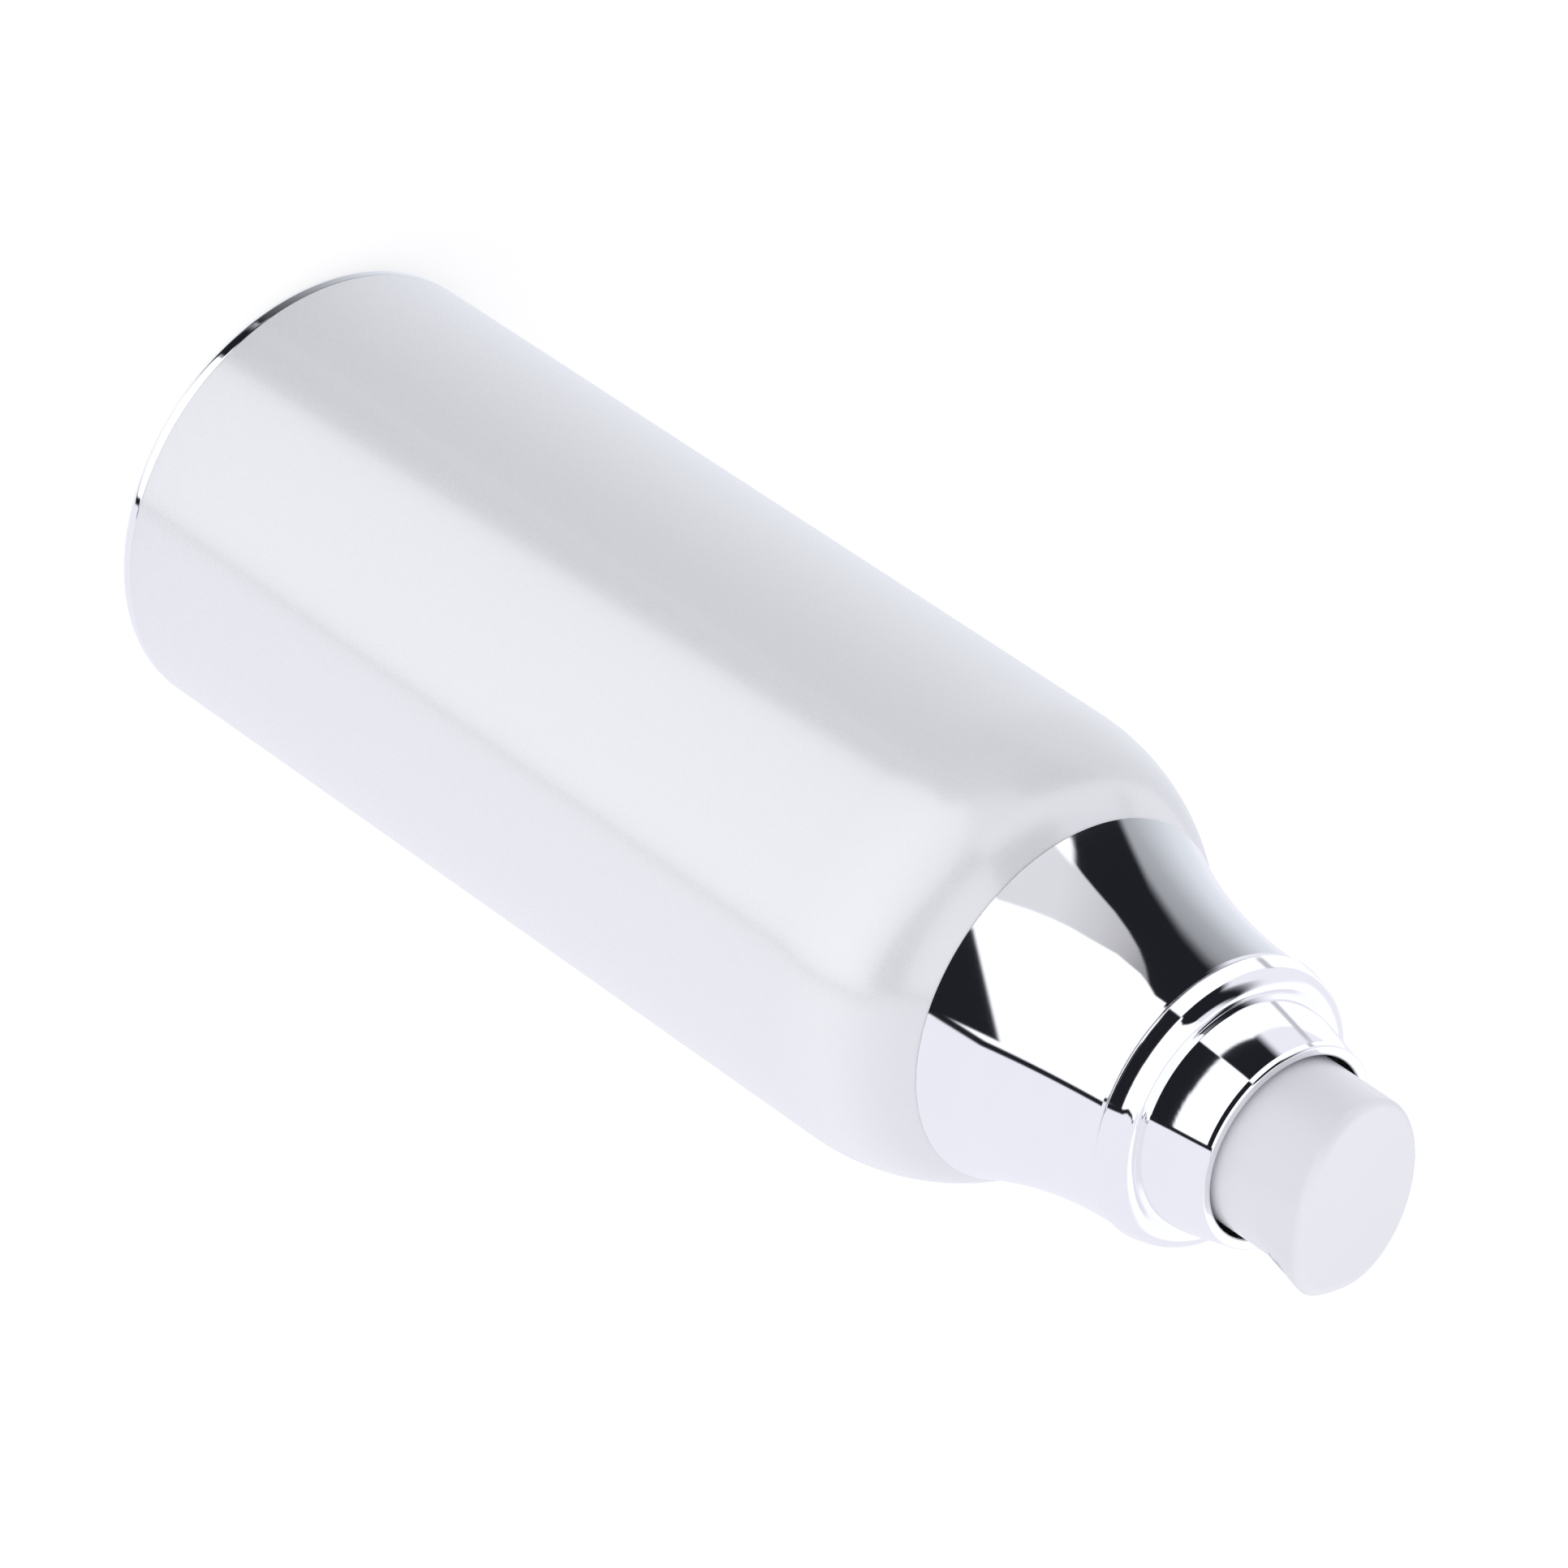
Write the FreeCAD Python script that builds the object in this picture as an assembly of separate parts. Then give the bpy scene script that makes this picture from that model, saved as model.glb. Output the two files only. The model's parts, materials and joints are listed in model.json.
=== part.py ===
import FreeCAD, Part
import math
import os

# Airless pump bottle, standing on its base cap. The axis is Z, the origin is the middle of the base
# on the table, and the beak of the actuator points along +X. All lengths are millimetres.

# Outer bottle: straight wall under a spherical shoulder
body_diameter = 44.0
outer_wall = 1.8
straight_height = 88.0

# Base cap: standing ring, plate with a vent, plug wall inside the outer bottle
band_height = 1.2
band_edge_radius = 0.5
foot_width = 2.2
foot_recess = 1.0
foot_edge_radius = 0.3
base_plate = 1.6
plug_wall = 1.4
plug_rise = 2.4
vent_diameter = 2.0

# Inner bottle with its neck
bottle_gap = 0.3
inner_wall = 1.6
neck_diameter = 20.0
neck_wall = 1.4
neck_gap = 1.2
neck_height = 7.3

# Follower piston
follower_wall = 1.4
follower_skirt = 8.0
follower_lip_height = 1.4
follower_lip_slope = 0.8
follower_waist = 0.6
follower_crown_gap = 0.5
follower_start_gap = 0.7
pocket_gap = 0.7

# Chrome sleeve on the shoulder
sleeve_wall = 1.1
flare_width = 3.9
sleeve_web = 1.2
sleeve_edge_chamfer = 0.25

# Stack clamped on the neck
gasket_thickness = 1.0
flange_thickness = 1.2
flange_inset = 0.15
retainer_thickness = 1.0

# Screw closure with the turret that carries the collar; the thread fills the gap round the neck
thread_gap = 0.9
closure_wall = 1.2
closure_plate = 1.4
closure_hole_diameter = 13.2
turret_inset = 2.1
turret_wall = 1.0
turret_height = 6.2

# Chrome collar: two rounded steps and the mouth
collar_lift = 0.3
collar_overhang = 0.15
collar_edge_radius = 0.1
collar_over_closure = 0.9
step_rise = 2.8
step_width = 1.9
step_lean = 12.5
step_side_radius = 18.0
groove_depth = 0.55
groove_width = 0.55
dome_rise = 6.6
dome_lean = 12.5
dome_side_radius = 130.0
rim_width = 0.25
mouth_lip = 3.6

# Pump chamber
chamber_diameter = 10.8
chamber_wall = 1.4
seal_wall = 1.0
seal_depth = 3.4
inlet_wall = 1.3
ball_diameter = 3.2
ball_gap = 0.5
ball_lift = 1.0
inlet_diameter = 1.8
seat_diameter = 3.8
seat_length = 3.2
seat_flange = 0.8
seat_flange_width = 0.7
fin_thickness = 0.6
fin_height = 0.9
fin_reach_share = 0.5
fin_count = 3

# Stem, rod and piston
stem_diameter = 5.2
stem_bore = 2.8
stem_collar_diameter = 7.4
stem_collar_height = 0.9
guide_depth = 4.0
spigot_wall = 1.3
spigot_rise = 3.0
rod_head_diameter = 7.0
rod_head_height = 1.3
rod_head_edge = 0.5
rod_grip = 6.0
rod_groove = 0.8
rod_groove_count = 4
port_height = 1.5
piston_height = 5.0
piston_lip_height = 1.1
piston_web_share = 0.45
piston_waist = 0.9
seal_travel = 0.8
stroke = 5.0
stroke_reserve = 0.6

# Return spring
spring_wire = 0.8
spring_diameter = 10.4
spring_turns = 7
spring_steps_per_turn = 4

# Actuator
mouth_gap = 0.45
actuator_wall = 1.1
actuator_rise = 8.35
actuator_slant = 13.0
actuator_dish_radius = 60.0
actuator_edge_radius = 0.8
actuator_roof = 1.5
boss_wall = 1.5
boss_depth = 6.0
beak_reach = 9.5
nose_radius = 3.0
nose_share = 0.35
beak_start = 4.95
channel_diameter = 1.8
channel_floor = 0.4
channel_slope = 7.0
orifice_diameter = 1.1
orifice_bush_diameter = 2.4
orifice_bush_length = 3.0
orifice_recess = 0.5

# Clearances: between pieces that are fixed together, that run on each other, and that stay apart
seat_gap = 0.05
run_gap = 0.05
free_gap = 0.3
touch_gap = 0.02

# Cuts run past the faces that they open by this much
overrun = 2.0

# Radii that several pieces share
body_radius = body_diameter / 2
outer_bore = body_radius - outer_wall
liner_radius = outer_bore - bottle_gap
liner_bore = liner_radius - inner_wall
neck_radius = neck_diameter / 2
neck_bore = neck_radius - neck_wall
opening_radius = neck_radius + neck_gap
closure_bore = neck_radius + thread_gap
closure_radius = closure_bore + closure_wall
flange_radius = neck_radius - flange_inset
chamber_radius = chamber_diameter / 2
barrel_radius = chamber_radius + chamber_wall
ball_radius = ball_diameter / 2
ball_pocket_radius = ball_radius + ball_gap
seat_bush_radius = ball_pocket_radius + ball_gap
inlet_radius = seat_bush_radius + inlet_wall
stem_radius = stem_diameter / 2
stem_bore_radius = stem_bore / 2
spigot_radius = stem_radius + run_gap + spigot_wall
turret_radius = closure_radius - turret_inset
sleeve_top_radius = closure_radius + free_gap + sleeve_wall
seam_radius = sleeve_top_radius + flare_width
collar_radius = sleeve_top_radius + collar_overhang
step_radius = collar_radius - step_width
dome_radius = step_radius - groove_width
turret_bore = turret_radius - turret_wall
mouth_radius = turret_bore - free_gap
skirt_radius = mouth_radius - mouth_gap
boss_radius = stem_radius + run_gap + boss_wall
web_radius = neck_radius + free_gap


def sphere_rise(radius, distance):
    """Height of a sphere over its centre at a distance from the axis."""
    return math.sqrt(radius ** 2 - distance ** 2)


# Heights from the base up: bottle, neck, clamped stack, collar
plate_top = foot_recess + base_plate
plug_top = plate_top + plug_rise
liner_bottom = plug_top + free_gap
shoulder_start = band_height + straight_height
shoulder_top = shoulder_start + sphere_rise(body_radius, opening_radius)
web_bottom = shoulder_top + seat_gap
web_top = web_bottom + sleeve_web
neck_lip = shoulder_top + neck_height
flange_bottom = neck_lip + gasket_thickness
flange_top = flange_bottom + flange_thickness
retainer_top = flange_top + retainer_thickness
closure_bottom = web_top + free_gap
closure_top = retainer_top + closure_plate
turret_top = closure_top + turret_height
sleeve_top = closure_top + collar_over_closure
collar_bottom = sleeve_top + collar_lift
step_start = collar_bottom + collar_edge_radius
step_top = step_start + step_rise
dome_start = step_top - groove_depth
rim_height = dome_start + dome_rise

# Heights from the retainer down: stem collar, piston, rod head, valve
guide_bottom = flange_top - guide_depth
stem_collar_top = guide_bottom - run_gap
stem_collar_bottom = stem_collar_top - stem_collar_height
piston_top = stem_collar_bottom - seal_travel - run_gap
piston_bottom = piston_top - piston_height
stem_bottom = piston_bottom + port_height
head_top = piston_bottom - touch_gap
head_bottom = head_top - rod_head_height
chamber_floor = head_bottom - stroke - stroke_reserve
pocket_top = chamber_floor - (chamber_radius - ball_pocket_radius) / 2
fin_bottom = pocket_top - fin_height
ball_top = fin_bottom - ball_lift - run_gap
ball_centre = ball_top - ball_radius
seat_contact = ball_centre - touch_gap - ball_radius * math.sqrt(2)
seat_top = seat_contact + seat_diameter / 2
seat_bottom = seat_top - seat_length
housing_bottom = seat_bottom + seat_flange
barrel_bottom = chamber_floor - chamber_wall

# Heights of the actuator, from the closure's plate and the rim up
skirt_bottom = closure_top + stroke + stroke_reserve
crown_height = rim_height + actuator_rise
slant = math.radians(actuator_slant)
roof_height = crown_height - skirt_radius * math.tan(slant) - actuator_roof
boss_bottom = roof_height - boss_depth
stem_top = roof_height - run_gap
beak_bottom = rim_height + beak_start
beak_lean = (beak_reach - skirt_radius) / (crown_height + beak_reach * math.tan(slant) - beak_bottom)
dish_width = skirt_radius + beak_reach

# Follower piston: its lower end starts above the liner's end
follower_bottom = liner_bottom + follower_start_gap
follower_centre = follower_bottom + follower_skirt
follower_end = shoulder_start - follower_crown_gap
follower_radius = liner_bore - run_gap
crown_radius = liner_bore - follower_crown_gap
pocket_radius = barrel_radius + pocket_gap
pocket_floor = seat_bottom - pocket_gap - (follower_end - follower_centre)


def point(r, z):
    return FreeCAD.Vector(r, 0, z)


def circle_point(radius, angle, height):
    return FreeCAD.Vector(radius * math.cos(angle), radius * math.sin(angle), height)


def lines(*corners):
    """Straight edges from corner to corner, each corner a radius and a height."""
    ends = [point(*corner) for corner in corners]
    return [Part.LineSegment(a, b).toShape() for a, b in zip(ends, ends[1:])]


def sphere_arc(radius, centre, first, last):
    """Arc of a sphere's outline between two distances from the axis."""
    start = math.acos(first / radius)
    end = math.acos(last / radius)
    angles = (start, (start + end) / 2, end)
    ends = [point(radius * math.cos(a), centre + radius * math.sin(a)) for a in angles]
    return [Part.Arc(*ends).toShape()]


def upright_arc(top, foot):
    """Arc that leaves its top point straight down and bends outwards to its foot."""
    out = foot[0] - top[0]
    drop = top[1] - foot[1]
    radius = (out ** 2 + drop ** 2) / (2 * out)
    angle = math.asin(drop / radius) / 2
    middle = (top[0] + radius * (1 - math.cos(angle)), top[1] - radius * math.sin(angle))
    return [Part.Arc(point(*top), point(*middle), point(*foot)).toShape()]


def quarter(start, corner, end):
    """Round corner: a quarter circle between two runs that meet square at the corner."""
    share = 1 / math.sqrt(2)
    middle = [a + b - c + (c - a + c - b) * share for a, b, c in zip(start, end, corner)]
    return [Part.Arc(point(*start), point(*middle), point(*end)).toShape()]


def oval(start, end, lean, side_radius):
    """Two touching arcs: the side leaves the start at its lean to the axis, the tight tip ends level."""
    leaning = math.radians(lean)
    centre = (start[0] - side_radius * math.cos(leaning), start[1] - side_radius * math.sin(leaning))
    away = (end[0] - centre[0], end[1] - centre[1])
    tip_radius = (side_radius ** 2 - away[0] ** 2 - away[1] ** 2) / (2 * (side_radius - away[1]))
    tip = (end[0], end[1] - tip_radius)
    meeting = math.atan2(tip[1] - centre[1], tip[0] - centre[0])

    def arc(middle, radius, first, last):
        angles = (first, (first + last) / 2, last)
        return Part.Arc(*[point(middle[0] + radius * math.cos(a), middle[1] + radius * math.sin(a))
                          for a in angles]).toShape()

    return [arc(centre, side_radius, leaning, meeting), arc(tip, tip_radius, meeting, math.pi / 2)]


def turned(*runs):
    """Solid turned about the axis from the closed outline that the runs make."""
    edges = [edge for run in runs for edge in run]
    face = Part.Face(Part.Wire(Part.__sortEdges__(edges)))
    return face.revolve(point(0, 0), FreeCAD.Vector(0, 0, 1), 360)


def ring(inner, outer, bottom, top):
    return turned(lines((inner, bottom), (outer, bottom), (outer, top), (inner, top), (inner, bottom)))


def post(radius, bottom, top):
    return Part.makeCylinder(radius, top - bottom, point(0, bottom))


def outer_bottle():
    inner_top = shoulder_start + sphere_rise(outer_bore, opening_radius)
    return turned(
        lines((body_radius, band_height), (body_radius, shoulder_start)),
        sphere_arc(body_radius, shoulder_start, body_radius, opening_radius),
        lines((opening_radius, shoulder_top), (opening_radius, inner_top)),
        sphere_arc(outer_bore, shoulder_start, opening_radius, outer_bore),
        lines((outer_bore, shoulder_start), (outer_bore, band_height), (body_radius, band_height)))


def base_cap():
    plug_radius = outer_bore - seat_gap
    plug_bore = plug_radius - plug_wall
    vent_radius = vent_diameter / 2
    foot_outer = body_radius - band_edge_radius
    foot_bore = foot_outer - foot_width
    foot_corner = foot_bore + foot_edge_radius
    return turned(
        lines((vent_radius, plate_top), (vent_radius, foot_recess), (foot_bore, foot_recess),
              (foot_bore, foot_edge_radius)),
        quarter((foot_bore, foot_edge_radius), (foot_bore, 0), (foot_corner, 0)),
        lines((foot_corner, 0), (foot_outer, 0)),
        quarter((foot_outer, 0), (body_radius, 0), (body_radius, band_edge_radius)),
        lines((body_radius, band_edge_radius), (body_radius, band_height), (plug_radius, band_height),
              (plug_radius, plug_top), (plug_bore, plug_top), (plug_bore, plate_top),
              (vent_radius, plate_top)))


def inner_bottle():
    outer_neck = shoulder_start + sphere_rise(liner_radius, neck_radius)
    inner_neck = shoulder_start + sphere_rise(liner_bore, neck_bore)
    return turned(
        lines((liner_bore, liner_bottom), (liner_radius, liner_bottom), (liner_radius, shoulder_start)),
        sphere_arc(liner_radius, shoulder_start, liner_radius, neck_radius),
        lines((neck_radius, outer_neck), (neck_radius, neck_lip), (neck_bore, neck_lip),
              (neck_bore, inner_neck)),
        sphere_arc(liner_bore, shoulder_start, neck_bore, liner_bore),
        lines((liner_bore, shoulder_start), (liner_bore, liner_bottom)))


def follower_piston():
    waist = follower_radius - follower_waist
    skirt_bore = waist - follower_wall
    dome_bore = crown_radius - follower_wall
    well_radius = pocket_radius + follower_wall
    well_floor = pocket_floor - follower_wall
    lower_lip = follower_bottom + follower_lip_height
    upper_lip = follower_centre - follower_lip_height
    crown_edge = follower_centre + sphere_rise(crown_radius, pocket_radius)
    dome_edge = follower_centre + sphere_rise(dome_bore, well_radius)
    return turned(
        lines((skirt_bore, follower_centre), (skirt_bore, follower_bottom),
              (follower_radius, follower_bottom), (follower_radius, lower_lip),
              (waist, lower_lip + follower_lip_slope), (waist, upper_lip - follower_lip_slope),
              (follower_radius, upper_lip), (follower_radius, follower_centre),
              (crown_radius, follower_centre)),
        sphere_arc(crown_radius, follower_centre, crown_radius, pocket_radius),
        lines((pocket_radius, crown_edge), (pocket_radius, pocket_floor), (0, pocket_floor),
              (0, well_floor), (well_radius, well_floor), (well_radius, dome_edge)),
        sphere_arc(dome_bore, follower_centre, well_radius, dome_bore),
        lines((dome_bore, follower_centre), (skirt_bore, follower_centre)))


def shoulder_sleeve():
    rest_radius = body_radius + seat_gap
    edge_radius = sleeve_top_radius - sleeve_edge_chamfer
    edge_height = sleeve_top - sleeve_edge_chamfer
    top_bore = sleeve_top_radius - sleeve_wall
    foot_bore = seam_radius - sleeve_wall

    def foot(inset):
        return seam_radius - inset, shoulder_start + sphere_rise(rest_radius, seam_radius - inset)

    def flare(inset):
        """Concave outline, set in from the outer face, from the top edge down to the shoulder."""
        return upright_arc((sleeve_top_radius - inset, edge_height), foot(inset))

    shell = turned(
        sphere_arc(rest_radius, shoulder_start, seam_radius, foot_bore), flare(sleeve_wall),
        lines((top_bore, edge_height), (top_bore, sleeve_top), (edge_radius, sleeve_top),
              (sleeve_top_radius, edge_height)),
        flare(0))
    # The web inside sits on the top of the outer bottle and centres the sleeve on the neck
    half = sleeve_wall / 2
    foot_height = foot(half)[1]
    core = turned(flare(half), lines(
        (sleeve_top_radius - half, edge_height), (0, edge_height), (0, foot_height), foot(half)))
    web = ring(web_radius, seam_radius, web_bottom, web_top).common(core)
    return shell.fuse(web).removeSplitter()


def neck_gasket():
    return ring(neck_bore, flange_radius, neck_lip, flange_bottom)


def screw_closure():
    hole_radius = closure_hole_diameter / 2
    return turned(lines(
        (closure_bore, closure_bottom), (closure_radius, closure_bottom), (closure_radius, closure_top),
        (turret_radius, closure_top), (turret_radius, turret_top), (turret_bore, turret_top),
        (turret_bore, closure_top), (hole_radius, closure_top), (hole_radius, retainer_top),
        (closure_bore, retainer_top), (closure_bore, closure_bottom)))


def collar_ring():
    bore = turret_radius + seat_gap
    rim_radius = mouth_radius + rim_width
    lip_bottom = rim_height - mouth_lip
    foot_radius = closure_radius - collar_edge_radius
    edge_in = collar_radius - collar_edge_radius
    rim_edge = rim_height - rim_width
    return turned(
        lines((bore, closure_top), (foot_radius, closure_top), (foot_radius, collar_bottom),
              (edge_in, collar_bottom)),
        quarter((edge_in, collar_bottom), (collar_radius, collar_bottom), (collar_radius, step_start)),
        oval((collar_radius, step_start), (step_radius, step_top), step_lean, step_side_radius),
        lines((step_radius, step_top), (dome_radius, dome_start)),
        oval((dome_radius, dome_start), (rim_radius, rim_height), dome_lean, dome_side_radius),
        quarter((rim_radius, rim_height), (mouth_radius, rim_height), (mouth_radius, rim_edge)),
        lines((mouth_radius, rim_edge), (mouth_radius, lip_bottom), (bore, lip_bottom),
              (bore, closure_top)))


def pump_housing():
    seal_radius = neck_bore - seat_gap
    seal_bore = seal_radius - seal_wall
    seal_bottom = flange_bottom - seal_depth
    neck_in = barrel_bottom - (barrel_radius - inlet_radius)
    body = turned(lines(
        (chamber_radius, flange_top), (flange_radius, flange_top), (flange_radius, flange_bottom),
        (seal_radius, flange_bottom), (seal_radius, seal_bottom), (seal_bore, seal_bottom),
        (seal_bore, flange_bottom), (barrel_radius, flange_bottom), (barrel_radius, barrel_bottom),
        (inlet_radius, neck_in), (inlet_radius, housing_bottom), (seat_bush_radius, housing_bottom),
        (seat_bush_radius, seat_top), (ball_pocket_radius, seat_top), (ball_pocket_radius, pocket_top),
        (chamber_radius, chamber_floor), (chamber_radius, flange_top)))
    # Fins over the ball keep it in its pocket and let the product past
    reach = ball_pocket_radius * fin_reach_share
    fin = Part.makeBox(ball_pocket_radius + inlet_wall - reach, fin_thickness, fin_height)
    fin.translate(FreeCAD.Vector(reach, -fin_thickness / 2, fin_bottom))
    for number in range(fin_count):
        copy = fin.copy()
        copy.rotate(point(0, 0), FreeCAD.Vector(0, 0, 1), 360 * number / fin_count)
        body = body.fuse(copy)
    return body.removeSplitter()


def valve_seat():
    bush_radius = seat_bush_radius - seat_gap
    cone_radius = seat_diameter / 2
    hole_radius = inlet_diameter / 2
    cone_bottom = seat_top - (cone_radius - hole_radius)
    flange = seat_bush_radius + seat_flange_width
    flange_level = housing_bottom - touch_gap
    return turned(lines(
        (hole_radius, seat_bottom), (flange, seat_bottom), (flange, flange_level),
        (bush_radius, flange_level), (bush_radius, seat_top - touch_gap),
        (cone_radius, seat_top - touch_gap), (hole_radius, cone_bottom - touch_gap),
        (hole_radius, seat_bottom)))


def inlet_ball():
    return Part.makeSphere(ball_radius, point(0, ball_centre))


def housing_retainer():
    bore = stem_radius + run_gap
    plug_radius = chamber_radius - seat_gap
    spigot_top = retainer_top + spigot_rise
    return turned(lines(
        (bore, guide_bottom), (plug_radius, guide_bottom), (plug_radius, flange_top),
        (flange_radius, flange_top), (flange_radius, retainer_top), (spigot_radius, retainer_top),
        (spigot_radius, spigot_top), (bore, spigot_top), (bore, guide_bottom)))


def stem():
    collar = stem_collar_diameter / 2
    return turned(lines(
        (stem_bore_radius, stem_bottom), (stem_radius, stem_bottom), (stem_radius, stem_collar_bottom),
        (collar, stem_collar_bottom), (collar, stem_collar_top), (stem_radius, stem_collar_top),
        (stem_radius, stem_top), (stem_bore_radius, stem_top), (stem_bore_radius, stem_bottom)))


def piston_rod():
    shank = stem_bore_radius - touch_gap
    shank_top = stem_bottom + rod_grip
    head = rod_head_diameter / 2
    rod = turned(lines(
        (0, head_bottom), (head - rod_head_edge, head_bottom), (head, head_bottom + rod_head_edge),
        (head, head_top), (shank, head_top), (shank, shank_top), (0, shank_top), (0, head_bottom)))
    # Grooves along the shank lead the product into the stem
    length = shank_top - head_top + overrun
    for number in range(rod_groove_count):
        groove = Part.makeBox(shank, rod_groove, length)
        groove.translate(FreeCAD.Vector(rod_groove, -rod_groove / 2, head_top))
        groove.rotate(point(0, 0), FreeCAD.Vector(0, 0, 1), 360 * number / rod_groove_count)
        rod = rod.cut(groove)
    return rod.removeSplitter()


def pump_piston():
    bore = stem_radius + run_gap
    lip = chamber_radius - run_gap
    waist = lip - piston_waist
    web = bore + (lip - bore) * piston_web_share
    lower = piston_bottom + piston_lip_height
    upper = piston_top - piston_lip_height
    return turned(lines(
        (bore, piston_bottom), (web, piston_bottom), (web, lower), (lip, piston_bottom),
        (lip, lower), (waist, lower + piston_waist), (waist, upper - piston_waist), (lip, upper),
        (lip, piston_top), (web, upper), (web, piston_top), (bore, piston_top), (bore, piston_bottom)))


def biarc(start, tangent, end, final):
    """Two arcs that leave the start along its tangent and meet the end along the final one."""
    reach = end - start
    both = tangent + final
    spread = 1 - tangent.dot(final)
    root = math.sqrt(reach.dot(both) ** 2 + 2 * spread * reach.dot(reach))
    size = (root - reach.dot(both)) / (2 * spread)
    middle = (start + end + (tangent - final) * size) / 2
    return [tangent_arc(start, tangent, middle, 1), tangent_arc(end, final, middle, -1)]


def tangent_arc(start, tangent, end, sense):
    """Arc between two points that is tangent to the given line at its start."""
    chord = end - start
    along = FreeCAD.Vector(chord).normalize()
    aside = tangent * sense - along * (tangent.dot(along) * sense)
    angle = math.asin(min(1, aside.Length))
    bulge = chord.Length / 2 * math.tan(angle / 2)
    middle = (start + end) / 2 + aside.normalize() * bulge
    first, last = (start, end) if sense > 0 else (end, start)
    return Part.Arc(first, middle, last).toShape()


def return_spring():
    low = retainer_top + spring_wire / 2 + touch_gap
    high = roof_height - spring_wire / 2 - touch_gap
    mean = spring_diameter / 2
    pitch = (high - low) / spring_turns
    steps = spring_turns * spring_steps_per_turn

    def place(step):
        angle = 2 * math.pi * step / spring_steps_per_turn
        return circle_point(mean, angle, low + (high - low) * step / steps)

    def heading(step):
        angle = 2 * math.pi * step / spring_steps_per_turn
        rise = pitch / (2 * math.pi)
        return FreeCAD.Vector(-mean * math.sin(angle), mean * math.cos(angle), rise).normalize()

    edges = []
    for step in range(steps):
        edges += biarc(place(step), heading(step), place(step + 1), heading(step + 1))
    path = Part.Wire(edges)
    section = Part.Wire(Part.Circle(place(0), heading(0), spring_wire / 2).toShape())
    coil = path.makePipeShell([section], True, False)
    apart = [place(first).distanceToPoint(place(last))
             for first in range(steps) for last in range(first + spring_steps_per_turn, steps + 1)]
    print("least gap between the spring's turns", round(min(apart) - spring_wire, 2))
    return coil


def slanted(shape):
    """Sets a shape that was made about the axis on the actuator's slanted crown."""
    shape.rotate(point(0, 0), FreeCAD.Vector(0, 1, 0), -actuator_slant)
    shape.translate(point(0, crown_height))
    return shape


def dish_tool():
    """Round-ended cutter that leaves the slightly hollow top."""
    depth = actuator_dish_radius - sphere_rise(actuator_dish_radius, dish_width)
    half = actuator_dish_radius - sphere_rise(actuator_dish_radius, dish_width / 2)
    bowl = Part.Arc(point(0, 0), point(dish_width / 2, half), point(dish_width, depth)).toShape()
    rest = lines((dish_width, depth), (dish_width, dish_width), (0, dish_width), (0, 0))
    return slanted(turned([bowl], rest))


def skirt_plan(height, turn):
    """Round plan of the skirt, divided where the prow's plan is."""
    full = 2 * math.pi
    front = turn * nose_share
    corners = (turn, full - turn, full - front, full + front, full + turn)
    edges = []
    for first, last in zip(corners, corners[1:]):
        angles = (first, (first + last) / 2, last)
        edges.append(Part.Arc(*[circle_point(skirt_radius, a, height) for a in angles]).toShape())
    return Part.Wire(edges)


def prow_plan(height, turn, centre):
    """Drop-shaped plan: the skirt's circle, a round nose and the lines that touch both."""
    back = [circle_point(skirt_radius, a, height) for a in (turn, math.pi, -turn)]
    shift = FreeCAD.Vector(centre, 0, 0)
    nose = [circle_point(nose_radius, a, height) + shift for a in (-turn, 0, turn)]
    return Part.Wire([
        Part.Arc(*back).toShape(), Part.LineSegment(back[2], nose[0]).toShape(),
        Part.Arc(*nose).toShape(), Part.LineSegment(nose[2], back[0]).toShape()])


def prow():
    """Head that leans out at its front, from the round skirt to the drop-shaped top."""
    top = crown_height + beak_reach
    centre = beak_front(top) - nose_radius
    turn = math.acos((skirt_radius - nose_radius) / centre)
    return Part.makeLoft([skirt_plan(beak_bottom, turn), prow_plan(top, turn, centre)], True, True)


def beak_front(height):
    """Distance of the beak's front from the axis at a height."""
    return skirt_radius + (height - beak_bottom) * beak_lean


def channel_line():
    """Start and direction of the flow channel, and its length to the beak's front."""
    climb = math.radians(channel_slope)
    start = point(0, roof_height + channel_floor + channel_diameter / 2)
    direction = FreeCAD.Vector(math.cos(climb), 0, math.sin(climb))
    out = beak_front(start.z) / (1 - beak_lean * math.tan(climb))
    return start, direction, out / math.cos(climb)


def actuator():
    start, direction, length = channel_line()
    head = post(skirt_radius, skirt_bottom, beak_bottom).fuse(prow()).removeSplitter()
    head = head.cut(dish_tool())
    top = [face for face in head.Faces if isinstance(face.Surface, Part.Sphere)]
    head = head.makeFillet(actuator_edge_radius, top[0].OuterWire.Edges)
    bush = orifice_bush_length + orifice_recess
    socket = start + direction * (length - bush)
    for tool in (
            ring(boss_radius, skirt_radius - actuator_wall, skirt_bottom - overrun, roof_height),
            post(boss_radius + overrun, skirt_bottom - overrun, boss_bottom),
            post(stem_radius + run_gap, boss_bottom - overrun, roof_height),
            post(stem_bore_radius, roof_height - overrun, start.z),
            Part.makeSphere(stem_bore_radius, start),
            Part.makeCylinder(channel_diameter / 2, length - bush / 2, start, direction),
            Part.makeCylinder(orifice_bush_diameter / 2, bush + overrun, socket, direction)):
        head = head.cut(tool)
    return head


def orifice_insert():
    start, direction, length = channel_line()
    begin = start + direction * (length - orifice_bush_length - orifice_recess)
    bush_radius = orifice_bush_diameter / 2 - touch_gap
    bush = Part.makeCylinder(bush_radius, orifice_bush_length, begin, direction)
    return bush.cut(Part.makeCylinder(orifice_diameter / 2, orifice_bush_length, begin, direction))


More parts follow.
